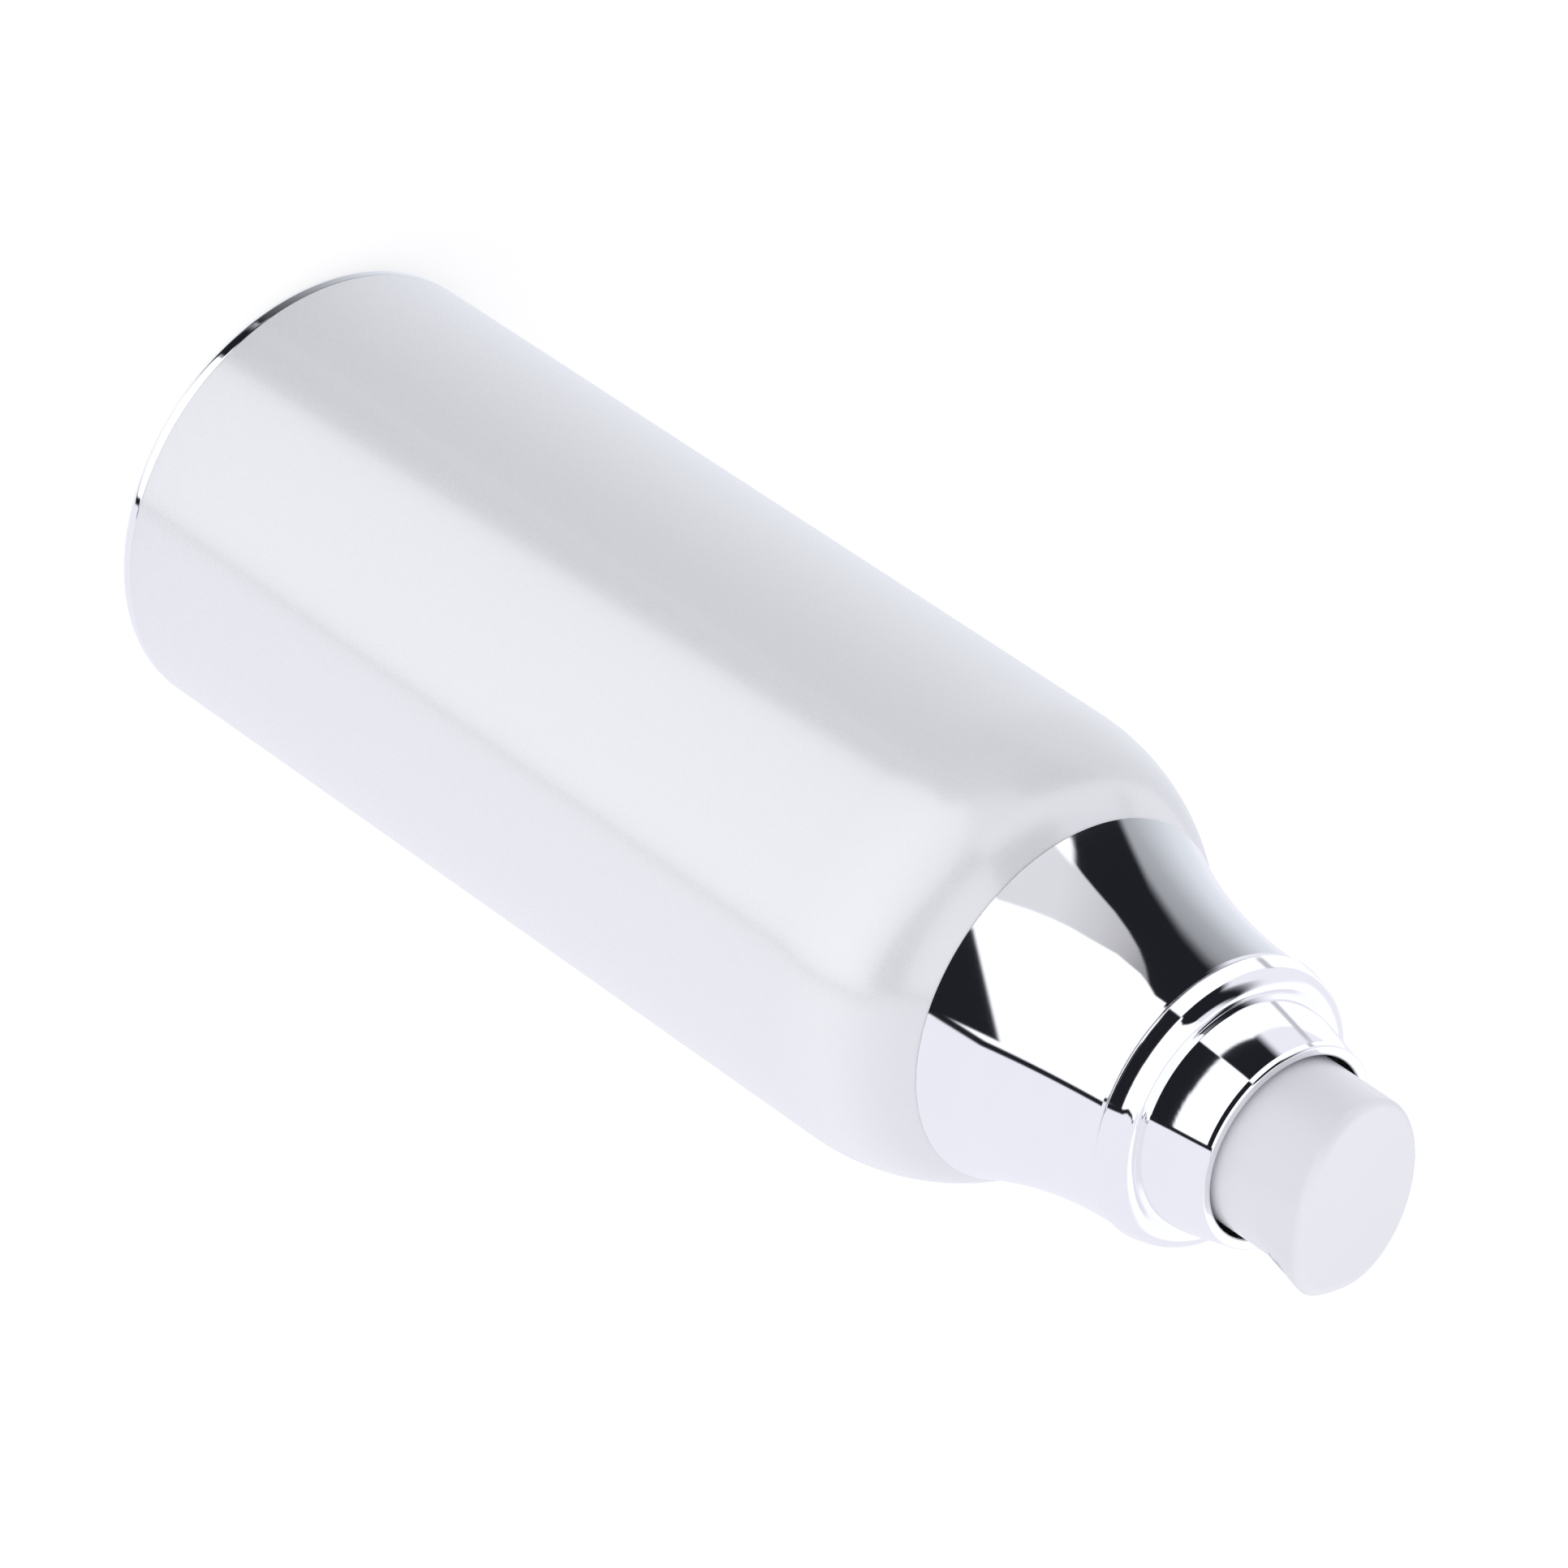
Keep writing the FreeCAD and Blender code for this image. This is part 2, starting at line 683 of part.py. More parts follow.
pieces = (
    outer_bottle, base_cap, inner_bottle, follower_piston, shoulder_sleeve, neck_gasket, screw_closure,
    collar_ring, pump_housing, valve_seat, inlet_ball, housing_retainer, return_spring, stem, piston_rod,
    pump_piston, actuator, orifice_insert)

os.makedirs("parts", exist_ok=True)
for piece in pieces:
    solid = piece().Solids[0]
    print(piece.__name__, "valid" if solid.isValid() else "not valid", round(solid.Volume, 1))
    solid.exportStep("parts/" + piece.__name__ + ".step")
print("follower travel", round(follower_end - follower_centre, 2), "stroke", stroke)
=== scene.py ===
import json
import math

import bpy
import numpy as np
from mathutils import Matrix


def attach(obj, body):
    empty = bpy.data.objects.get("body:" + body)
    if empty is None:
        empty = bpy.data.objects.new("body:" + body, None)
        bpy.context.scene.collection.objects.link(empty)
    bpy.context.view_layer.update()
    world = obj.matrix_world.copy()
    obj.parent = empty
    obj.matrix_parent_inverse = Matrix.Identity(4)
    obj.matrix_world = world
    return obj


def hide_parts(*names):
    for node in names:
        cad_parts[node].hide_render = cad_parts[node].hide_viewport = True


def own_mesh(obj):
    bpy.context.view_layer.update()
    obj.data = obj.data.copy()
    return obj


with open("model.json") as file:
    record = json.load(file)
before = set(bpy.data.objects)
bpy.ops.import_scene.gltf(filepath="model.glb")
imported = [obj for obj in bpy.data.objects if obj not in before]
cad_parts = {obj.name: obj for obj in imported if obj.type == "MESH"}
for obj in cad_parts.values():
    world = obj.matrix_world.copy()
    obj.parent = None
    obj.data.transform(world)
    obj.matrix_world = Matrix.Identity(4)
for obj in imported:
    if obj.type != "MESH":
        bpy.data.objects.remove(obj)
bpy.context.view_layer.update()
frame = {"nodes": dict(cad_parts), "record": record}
nodes = frame["nodes"]
scene = bpy.context.scene
mm = 0.001
print("frame loaded:", len(nodes), "nodes")


# shader tools

class Field:
    # wraps one output socket; sums and products on it add Math nodes
    def __init__(self, finish, socket):
        self.finish = finish
        self.socket = socket

    def combine(self, operation, first, second):
        return self.finish.add("ShaderNodeMath", {"operation": operation}, {0: first, 1: second})

    def __add__(self, other):
        return self.combine("ADD", self, other)

    def __sub__(self, other):
        return self.combine("SUBTRACT", self, other)

    def __rsub__(self, other):
        return self.combine("SUBTRACT", other, self)

    def __mul__(self, other):
        return self.combine("MULTIPLY", self, other)

    __radd__ = __add__
    __rmul__ = __mul__


class Finish:
    # the nodes of one material or of the world
    def __init__(self, owner):
        self.owner = owner
        owner.use_nodes = True
        self.tree = owner.node_tree
        self.tree.nodes.clear()

    def add(self, kind, settings=None, sockets=None, output=0):
        # makes any node: its settings first, then the values or links of its sockets
        node = self.tree.nodes.new(kind)
        for key, value in (settings or {}).items():
            setattr(node, key, value)
        for key, value in (sockets or {}).items():
            if isinstance(value, Field):
                self.tree.links.new(value.socket, node.inputs[key])
            else:
                node.inputs[key].default_value = value
        return Field(self, node.outputs[output] if len(node.outputs) else None)

    def mix(self, factor, first, second):
        colourResult = 2
        return self.add("ShaderNodeMix", {"data_type": "RGBA"},
                        {"Factor": factor, "A": first, "B": second}, colourResult)

    def spot(self):
        return self.add("ShaderNodeTexCoord", output="Object")

    def noise(self, scale, detail=3.0, roughness=0.5, stretch=(1.0, 1.0, 1.0)):
        spread = self.add("ShaderNodeMapping", None, {"Vector": self.spot(), "Scale": stretch})
        return self.add("ShaderNodeTexNoise", None,
                        {"Vector": spread, "Scale": scale, "Detail": detail, "Roughness": roughness})

    def flakes(self, scale):
        # one random value for each cell
        cells = self.add("ShaderNodeTexVoronoi", {"feature": "F1"}, {"Vector": self.spot(), "Scale": scale},
                         "Color")
        return self.add("ShaderNodeSeparateColor", None, {"Color": cells})

    def bump(self, height, strength, depth):
        return self.add("ShaderNodeBump", None,
                        {"Height": height, "Strength": strength, "Distance": depth * mm})

    def surface(self, sockets):
        shader = self.add("ShaderNodeBsdfPrincipled", None, sockets)
        self.add("ShaderNodeOutputMaterial", None, {"Surface": shader})
        return self.owner


def tint(red, green, blue):
    return (red, green, blue, 1.0)


# finishes; scales count features in a metre, depths and heights are in millimetres

noiseMiddle = 0.5     # of a noise that runs from 0 to 1

# the shade colour and the heights after it paint a soft shade into the pearl's tone below the sleeve
pearlLook = {"light": tint(0.887, 0.893, 0.925), "deep": tint(0.862, 0.868, 0.9), "metallic": 0.15,
             "roughness": 0.25, "roughnessSwing": 0.05, "flakeScale": 5200.0, "flakeShare": 0.6,
             "cloudScale": 55.0, "cloudDetail": 4.0, "grain": 0.01, "grainDepth": 0.02,
             "coat": 0.25, "coatRoughness": 0.06, "shade": tint(0.62, 0.62, 0.66), "paintedShadeAmount": 0.45,
             "paintedShadeFrom": 94.5, "paintedShadeTo": 102.5}


def pearlFinish():
    # fine flakes that differ a little in tone and gloss, under a thin clear coat; a painted soft shade by the
    # sleeve
    look = pearlLook
    f = Finish(bpy.data.materials.new("pearl_white"))
    flake = f.flakes(look["flakeScale"])
    cloud = f.noise(look["cloudScale"], look["cloudDetail"])
    tone = f.mix(flake * look["flakeShare"] + cloud * (1 - look["flakeShare"]), look["deep"], look["light"])
    # painted shade: the tone darkens smoothly over the heights just below the sleeve, all the way round
    height = f.add("ShaderNodeSeparateXYZ", None, {"Vector": f.spot()}, "Z")
    shade = f.add("ShaderNodeMapRange", {"interpolation_type": "SMOOTHSTEP"},
                  {"Value": height, "From Min": look["paintedShadeFrom"] * mm, "From Max": look["paintedShadeTo"] * mm})
    tone = f.mix(shade * look["paintedShadeAmount"], tone, look["shade"])
    gloss = look["roughness"] + look["roughnessSwing"] * (flake - noiseMiddle)
    grain = f.bump(flake, look["grain"], look["grainDepth"])
    return f.surface({"Base Color": tone, "Metallic": look["metallic"], "Roughness": gloss, "Normal": grain,
                      "Coat Weight": look["coat"], "Coat Roughness": look["coatRoughness"]})


chromeLook = {"bright": tint(0.945, 0.945, 0.955), "soft": tint(0.91, 0.912, 0.925), "roughness": 0.035,
              "haze": 0.03, "hazeMiddle": 0.45, "hazeScale": 90.0, "hazeDetail": 5.0, "hazeRoughness": 0.6,
              "hazeStretch": (1.0, 1.0, 3.0)}


def chromeFinish():
    # bright plating with a faint wipe haze that runs round the ring
    look = chromeLook
    f = Finish(bpy.data.materials.new("chrome_plate"))
    haze = f.noise(look["hazeScale"], look["hazeDetail"], look["hazeRoughness"], look["hazeStretch"])
    tone = f.mix(haze, look["bright"], look["soft"])
    gloss = look["roughness"] + look["haze"] * (haze - look["hazeMiddle"])
    return f.surface({"Base Color": tone, "Metallic": 1.0, "Roughness": gloss})


mouldedLook = {"flowScale": 38.0, "flowStretch": (1.0, 1.0, 0.4), "flowSwing": 0.05, "grainDetail": 2.0,
               "grainSwing": 0.08, "grain": 0.12, "coatRoughness": 0.15}
mouldedKinds = {
    "button_white": {"light": tint(0.81, 0.815, 0.86), "deep": tint(0.775, 0.785, 0.83), "roughness": 0.3,
                     "grainScale": 4200.0, "grainDepth": 0.01, "coat": 0.15},
    "liner_plastic": {"light": tint(0.84, 0.85, 0.85), "deep": tint(0.78, 0.8, 0.8), "roughness": 0.28,
                      "grainScale": 1500.0, "grainDepth": 0.01, "coat": 0.1},
    "soft_white": {"light": tint(0.86, 0.86, 0.84), "deep": tint(0.81, 0.81, 0.79), "roughness": 0.5,
                   "grainScale": 1800.0, "grainDepth": 0.02, "coat": 0.0},
    "pump_plastic": {"light": tint(0.83, 0.84, 0.84), "deep": tint(0.77, 0.79, 0.79), "roughness": 0.36,
                     "grainScale": 1600.0, "grainDepth": 0.01, "coat": 0.0},
}


def mouldedFinish(name):
    # moulded plastic: slow flow marks in the tone, a fine spark-eroded grain in the gloss
    shared, look = mouldedLook, mouldedKinds[name]
    f = Finish(bpy.data.materials.new(name))
    flow = f.noise(shared["flowScale"], stretch=shared["flowStretch"])
    grain = f.noise(look["grainScale"], shared["grainDetail"])
    tone = f.mix(flow, look["deep"], look["light"])
    gloss = look["roughness"] + shared["grainSwing"] * (grain - noiseMiddle)
    gloss = gloss + shared["flowSwing"] * (flow - noiseMiddle)
    return f.surface({"Base Color": tone, "Roughness": gloss,
                      "Normal": f.bump(grain, shared["grain"], look["grainDepth"]),
                      "Coat Weight": look["coat"], "Coat Roughness": shared["coatRoughness"]})


steelLook = {"dark": tint(0.5, 0.5, 0.51), "bright": tint(0.66, 0.66, 0.67), "roughness": 0.2,
             "roughnessRise": 0.15, "streakScale": 900.0, "streakDetail": 4.0, "streakRoughness": 0.6,
             "streakStretch": (1.0, 1.0, 6.0)}


def steelFinish():
    # drawn wire: fine streaks in tone and gloss
    look = steelLook
    f = Finish(bpy.data.materials.new("spring_steel"))
    streak = f.noise(look["streakScale"], look["streakDetail"], look["streakRoughness"],
                     look["streakStretch"])
    tone = f.mix(streak, look["dark"], look["bright"])
    return f.surface({"Base Color": tone, "Metallic": 1.0,
                      "Roughness": look["roughness"] + look["roughnessRise"] * streak})


foamLook = {"deep": tint(0.76, 0.76, 0.74), "light": tint(0.84, 0.84, 0.82), "roughness": 0.7,
            "roughnessRise": 0.2, "cellScale": 2600.0, "pit": 0.4, "pitDepth": 0.08}


def foamFinish():
    # closed-cell foam: small pits
    look = foamLook
    f = Finish(bpy.data.materials.new("gasket_foam"))
    cells = f.flakes(look["cellScale"])
    tone = f.mix(cells, look["deep"], look["light"])
    return f.surface({"Base Color": tone, "Roughness": look["roughness"] + look["roughnessRise"] * cells,
                      "Normal": f.bump(cells, look["pit"], look["pitDepth"])})


finishes = {"pearl_white": pearlFinish(), "chrome_plate": chromeFinish(), "gasket_foam": foamFinish(),
            "spring_steel": steelFinish()}
finishes.update({name: mouldedFinish(name) for name in mouldedKinds})
slotOf = {part["node"]: part["material_slot"] for part in frame["record"]["subparts"]}
for name, node in nodes.items():
    node.data.materials.clear()
    node.data.materials.append(finishes[slotOf[name]])
print("finishes made:", len(finishes))


# mesh tools; profiles are arrays of (radius, height) in millimetres

def arc(centre, radius, first, last, count):
    # points on a circle between two angles in degrees, both ends included
    turn = np.radians(np.linspace(first, last, count))
    return np.stack([centre[0] + radius * np.cos(turn), centre[1] + radius * np.sin(turn)], axis=1)


def sharp(points):
    # corners without a round
    return [(r, z, 0) for r, z in points]


def softLoop(corners, steps=7):
    # closed outline: each corner (radius, height, round) becomes a circle arc that touches both its sides
    points = np.array([corner[:2] for corner in corners], float)
    sizes = [corner[2] for corner in corners]
    before = np.roll(points, 1, axis=0) - points
    after = np.roll(points, -1, axis=0) - points
    share = np.linspace(0, 1, steps)[:, None]
    outline = []
    for size, point, u, w in zip(sizes, points, before, after):
        if size == 0:
            outline.append(point[None])
            continue
        u = u / np.linalg.norm(u)
        w = w / np.linalg.norm(w)
        half = math.acos(np.clip(u @ w, -1, 1)) / 2
        bisector = (u + w) / np.linalg.norm(u + w)
        centre = point + bisector * size / math.sin(half)
        start = point + u * size / math.tan(half) - centre
        end = point + w * size / math.tan(half) - centre
        spread = math.pi - 2 * half
        spokes = np.sin((1 - share) * spread) * start + np.sin(share * spread) * end
        outline.append(centre + spokes / math.sin(spread))
    return np.vstack(outline)


def supported(outline, near=0.08, far=4.0):
    # all but short sides get points close to their ends, which keep the shading of the rounds to the rounds
    shortest = 4 * near
    pieces = []
    for first, last in zip(outline, np.roll(outline, -1, axis=0)):
        length = np.linalg.norm(last - first)
        shares = [0.0]
        if length > shortest:
            inner = np.linspace(near / length, 1 - near / length, max(2, int(length / far) + 1))
            shares += list(inner)
        pieces.append(first + (last - first) * np.array(shares)[:, None])
    return np.vstack(pieces)


def turnedGrid(profile, count):
    # turned surface: x = r cos t, y = r sin t, z = height, one row of the grid for each profile point
    turn = np.linspace(0, 2 * np.pi, count, endpoint=False)
    r, z = profile[:, :1], profile[:, 1:]
    return np.stack([r * np.cos(turn), r * np.sin(turn), z + 0 * turn], axis=-1)


def cappedGrid(grid):
    # a row added at each end of a swept surface, shrunk to that end's middle point
    ends = grid[[0, -1]].mean(axis=1, keepdims=True).repeat(grid.shape[1], axis=1)
    return np.concatenate([ends[:1], grid, ends[1:]])


def gridMesh(name, grid, closeRows=True, sharpAngle=38.0):
    # quads between neighbouring grid points; the signed volume tells which way round they face outwards
    rows, columns = grid.shape[:2]
    index = np.arange(rows * columns).reshape(rows, columns)
    # an end row that shrinks to one point becomes one vertex
    for end in (0, -1):
        if np.ptp(grid[end], axis=0).max() == 0:
            index[end] = index[end, 0]
    used, index = np.unique(index, return_inverse=True)
    index = index.reshape(rows, columns)
    if closeRows:
        index = np.vstack([index, index[:1]])
    index = np.hstack([index, index[:, :1]])
    faces = np.stack([index[:-1, :-1], index[:-1, 1:], index[1:, 1:], index[1:, :-1]], axis=-1)
    faces = faces.reshape(-1, 4)
    points = grid.reshape(-1, 3)[used] * mm
    a, b, c, d = (points[faces[:, k]] for k in range(4))
    volume = np.sum(a * np.cross(b, c)) + np.sum(a * np.cross(c, d))
    if volume < 0:
        faces = faces[:, ::-1]
    mesh = bpy.data.meshes.new(name)
    mesh.from_pydata(points.tolist(), [], [list(dict.fromkeys(face)) for face in faces.tolist()])
    mesh.polygons.foreach_set("use_smooth", np.ones(len(faces), bool))
    mesh.set_sharp_from_angle(angle=math.radians(sharpAngle))
    piece = bpy.data.objects.new(name, mesh)
    scene.collection.objects.link(piece)
    return piece


def place(piece, body, slotName, *replaced):
    # gives a piece its finish, its body and the nodes that it stands for
    piece.data.materials.append(finishes[slotName])
    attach(piece, body)
    if replaced:
        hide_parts(*replaced)
    print("piece made:", piece.name, len(piece.data.polygons), "faces")
    return piece


# outer bottle: straight wall, spherical shoulder, open top under the sleeve

bottleWall = {"radius": 22.0, "wall": 1.8, "bottom": 1.2, "shoulder": 89.2, "opening": 11.2, "edge": 0.12,
              "domePoints": 60, "cavePoints": 50, "support": 0.12, "columns": 320}


def makeBottleWall():
    # turned outline: up the outer wall and its quarter round, back down the inner one
    p = bottleWall
    inner = p["radius"] - p["wall"]
    outerEnd = math.degrees(math.acos(p["opening"] / p["radius"]))
    innerEnd = math.degrees(math.acos(p["opening"] / inner))
    dome = arc((0, p["shoulder"]), p["radius"], 0, outerEnd, p["domePoints"])
    cave = arc((0, p["shoulder"]), inner, innerEnd, 0, p["cavePoints"])
    foot = softLoop([(inner, p["shoulder"], 0), (inner, p["bottom"], p["edge"]),
                     (p["radius"], p["bottom"], p["edge"]), (p["radius"], p["shoulder"], 0)])[1:-1]
    outline = supported(np.vstack([foot, dome, cave]), p["support"])
    return gridMesh("bottleWall", turnedGrid(outline, p["columns"]))


place(makeBottleWall(), "bottle", "pearl_white", "outer_bottle")


# base cap: standing ring, recessed plate with vent, plug wall

baseCap = {"radius": bottleWall["radius"], "band": bottleWall["bottom"], "bandRound": 0.5, "foot": 2.2,
           "footRound": 0.3, "recess": 1.0, "recessRound": 0.15, "plate": 1.6, "plugRadius": 20.15,
           "plugWall": 1.4, "plugRise": 2.4, "plugRound": 0.25, "plugFillet": 0.3, "vent": 1.0,
           "ventRound": 0.2, "edge": 0.1, "roundPoints": 9, "columns": 320}


def makeBaseCap():
    # turned outline: vent, recess, standing ring, band, plug and back over the plate
    p = baseCap
    footBore = p["radius"] - p["bandRound"] - p["foot"]
    plateTop = p["recess"] + p["plate"]
    plugBore = p["plugRadius"] - p["plugWall"]
    plugTop = plateTop + p["plugRise"]
    outline = softLoop([
        (p["vent"], plateTop, p["ventRound"]), (p["vent"], p["recess"], p["ventRound"]),
        (footBore, p["recess"], p["recessRound"]), (footBore, 0, p["footRound"]),
        (p["radius"], 0, p["bandRound"]), (p["radius"], p["band"], p["edge"]),
        (p["plugRadius"], p["band"], 0), (p["plugRadius"], plugTop, p["plugRound"]),
        (plugBore, plugTop, p["plugRound"]), (plugBore, plateTop, p["plugFillet"])], p["roundPoints"])
    return gridMesh("baseCap", turnedGrid(supported(outline), p["columns"]))


place(makeBaseCap(), "bottle", "chrome_plate", "base_cap")


# shoulder sleeve: concave flare from the shoulder to the collar, with a web round the neck

shoulderSleeve = {"topRadius": 13.5, "top": 120.944, "chamfer": 0.25, "topRound": 0.12, "wall": 1.1,
                  "flare": 3.9, "rest": 22.05, "shoulder": bottleWall["shoulder"], "edge": 0.08,
                  "webRadius": 10.3, "webBottom": 108.194, "webThick": 1.2, "webRound": 0.2,
                  "webFillet": 0.1, "outerPoints": 90, "innerPoints": 60, "columns": 384}


def flareArc(topRadius, top, footRadius, foot, count):
    # circle arc that leaves its top straight down and bends outwards to its foot
    out, drop = footRadius - topRadius, top - foot
    size = (out * out + drop * drop) / (2 * out)
    end = math.degrees(math.asin(drop / size))
    return arc((topRadius + size, top), size, 180, 180 + end, count)


def makeSleeve():
    # turned outline: down the outer flare, up the inner one, which the web's two levels cut
    p = shoulderSleeve
    bore = p["topRadius"] - p["wall"]
    seam = p["topRadius"] + p["flare"]
    innerSeam = seam - p["wall"]
    top = p["top"] - p["chamfer"]
    foot = p["shoulder"] + math.sqrt(p["rest"] ** 2 - seam ** 2)
    innerFoot = p["shoulder"] + math.sqrt(p["rest"] ** 2 - innerSeam ** 2)
    outer = flareArc(p["topRadius"], top, seam, foot, p["outerPoints"])
    inner = flareArc(bore, top, innerSeam, innerFoot, p["innerPoints"])[::-1]
    webTop = p["webBottom"] + p["webThick"]
    under = inner[inner[:, 1] < p["webBottom"] - p["webRound"]]
    over = inner[inner[:, 1] > webTop + p["webRound"]]
    meetLow = np.interp(p["webBottom"], inner[:, 1], inner[:, 0])
    meetHigh = np.interp(webTop, inner[:, 1], inner[:, 0])
    corners = sharp(outer[:-1]) + [(seam, foot, p["edge"]), (innerSeam, innerFoot, p["edge"])]
    corners += sharp(under[1:])
    corners += [(meetLow, p["webBottom"], p["webFillet"]), (p["webRadius"], p["webBottom"], p["webRound"]),
                (p["webRadius"], webTop, p["webRound"]), (meetHigh, webTop, p["webFillet"])]
    corners += sharp(over)
    corners += [(bore, p["top"], p["topRound"]), (p["topRadius"] - p["chamfer"], p["top"], p["edge"])]
    return gridMesh("shoulderSleeve", turnedGrid(supported(softLoop(corners)), p["columns"]))


place(makeSleeve(), "bottle", "chrome_plate", "shoulder_sleeve")


# collar: two rounded steps with a groove between them, and the mouth

collarRing = {"radius": 13.65, "gap": 0.3, "edge": 0.1, "edgeRound": 0.09, "stepRise": 2.55, "stepWidth": 1.9,
              "stepLean": 11.6, "stepSide": 18.0, "stepPoints": 24, "grooveDepth": 0.3, "grooveWidth": 0.55,
              "grooveRound": 0.05, "domeRise": 6.6, "domeLean": 12.5, "domeSide": 130.0, "domePoints": 32,
              "bandRise": 0.62, "bandLean": 9.5, "bandRound": 0.03, "rimRound": 0.2, "mouth": 8.7,
              "mouthRound": 0.22, "lip": 3.6, "lipRound": 0.1, "bore": 10.05, "foot": 12.0, "footDrop": 1.2,
              "footRound": 0.2, "footFillet": 0.05, "support": 0.05, "columns": 384}


def ovalArcs(start, end, lean, side, count):
    # two touching arcs: the side leaves the start at its lean to the axis, the tight tip ends level
    turn = math.radians(lean)
    centre = np.array(start) - side * np.array([math.cos(turn), math.sin(turn)])
    away = np.array(end) - centre
    tip = (side ** 2 - away @ away) / (2 * (side - away[1]))
    tipCentre = np.array([end[0], end[1] - tip])
    meet = math.degrees(math.atan2(tipCentre[1] - centre[1], tipCentre[0] - centre[0]))
    return np.vstack([arc(centre, side, lean, meet, count)[:-1], arc(tipCentre, tip, meet, 90, count)])


def makeCollar():
    # turned outline: foot, lower step, groove, upper step, rim, and down the mouth
    p = collarRing
    bottom = shoulderSleeve["top"] + p["gap"]
    footBottom = bottom - p["footDrop"]
    stepStart = bottom + p["edge"]
    stepTop = stepStart + p["stepRise"]
    stepRadius = p["radius"] - p["stepWidth"]
    domeStart = stepTop - p["grooveDepth"]
    domeRadius = stepRadius - p["grooveWidth"]
    rimHeight = domeStart + p["domeRise"]
    lipBottom = rimHeight - p["lip"]
    step = ovalArcs((p["radius"], stepStart), (stepRadius, stepTop), p["stepLean"], p["stepSide"],
                    p["stepPoints"])
    # the upper step's side is one wide arc up to a narrow band, which stands a little steeper below the rim
    turn = math.radians(p["domeLean"])
    centre = (domeRadius - p["domeSide"] * math.cos(turn), domeStart - p["domeSide"] * math.sin(turn))
    bandTurn = math.degrees(math.asin((rimHeight - p["bandRise"] - centre[1]) / p["domeSide"]))
    dome = arc(centre, p["domeSide"], p["domeLean"], bandTurn, p["domePoints"])
    bandRadius, bandBottom = dome[-1]
    rimRadius = bandRadius - p["bandRise"] * math.tan(math.radians(p["bandLean"]))
    corners = [(p["bore"], footBottom, p["footRound"]), (p["foot"], footBottom, p["footRound"]),
               (p["foot"], bottom, p["footFillet"]), (p["radius"], bottom, p["edgeRound"])]
    corners += sharp(step[:-1])
    corners += [(stepRadius, stepTop, p["grooveRound"]), (domeRadius, domeStart, p["grooveRound"])]
    corners += sharp(dome[1:-1])
    corners += [(bandRadius, bandBottom, p["bandRound"]), (rimRadius, rimHeight, p["rimRound"]),
                (p["mouth"], rimHeight, p["mouthRound"]), (p["mouth"], lipBottom, p["lipRound"]),
                (p["bore"], lipBottom, p["lipRound"])]
    return gridMesh("collarRing", turnedGrid(supported(softLoop(corners), p["support"]), p["columns"]))


place(makeCollar(), "closure", "chrome_plate", "collar_ring")


# neck thread: a ridge wound on the neck and its partner in the closure, half a pitch apart

neckThread = {"pitch": 3.0, "turns": 1.6, "closureTurns": 1.2, "height": 0.72, "base": 1.3, "crest": 0.6,
              "start": 111.0, "neckRadius": 10.0, "closureRadius": 10.9, "sink": 0.15, "taper": 25.0,
              "leastShare": 0.02, "stepsPerTurn": 96, "sharpAngle": 30.0}


def threadRidge(name, radius, side, start, turns):
    # a trapezium carried along a helix: radius + side * height, which grows from nothing over the taper
    p = neckThread
    turn = np.linspace(0, 2 * np.pi * turns, int(p["stepsPerTurn"] * turns))[:, None]
    fromEnd = np.minimum(turn, turn[-1] - turn)
    grow = np.clip(fromEnd / math.radians(p["taper"]), p["leastShare"], 1)
    along = np.array([-p["base"], -p["crest"], p["crest"], p["base"]]) / 2 * grow
    onCrest = np.array([False, True, True, False])
    r = radius + side * np.where(onCrest, p["height"] * grow, -p["sink"])
    z = start + p["pitch"] * turn / (2 * np.pi) + along
    grid = np.stack([r * np.cos(turn), r * np.sin(turn), z], axis=-1)
    return gridMesh(name, cappedGrid(grid), False, p["sharpAngle"])


def makeThreads():
    p = neckThread
    onNeck = threadRidge("neckThread", p["neckRadius"], 1, p["start"], p["turns"])
    place(onNeck, "bottle", "liner_plastic")
    inClosure = threadRidge("closureThread", p["closureRadius"], -1, p["start"] + p["pitch"] / 2,
                            p["closureTurns"])
    place(inClosure, "closure", "pump_plastic")


makeThreads()


# return spring: a coil of wire from its foot on the retainer

returnSpring = {"mean": 5.2, "wire": 0.8, "turns": 7, "bottom": 118.66, "top": 135.11, "stroke": 5.0,
                "spare": 0.1, "stepsPerTurn": 40, "columns": 14, "sharpAngle": 60.0}


def makeSpring():
    # a circle of the wire's radius carried square to a helix between the two ends
    p = returnSpring
    half = p["wire"] / 2
    turn = np.linspace(0, 2 * np.pi * p["turns"], p["stepsPerTurn"] * p["turns"] + 1)[:, None]
    rise = (p["top"] - p["bottom"] - p["wire"]) / turn[-1, 0]
    slope = math.atan2(rise, p["mean"])
    around = np.linspace(0, 2 * np.pi, p["columns"], endpoint=False)
    r = p["mean"] + half * np.cos(around)
    lean = half * np.sin(around) * math.sin(slope)
    x = r * np.cos(turn) + lean * np.sin(turn)
    y = r * np.sin(turn) - lean * np.cos(turn)
    z = p["bottom"] + half + rise * turn + half * np.sin(around) * math.cos(slope)
    return gridMesh("returnSpring", cappedGrid(np.stack([x, y, z], axis=-1)), False, p["sharpAngle"])


spring = place(makeSpring(), "pump", "spring_steel", "return_spring")
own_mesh(spring)


# studio: camera, floor, a light tent that only reflections see, and soft light
# floor, lamp and the camera's clipping are in metres, the tent and the camera's base in millimetres

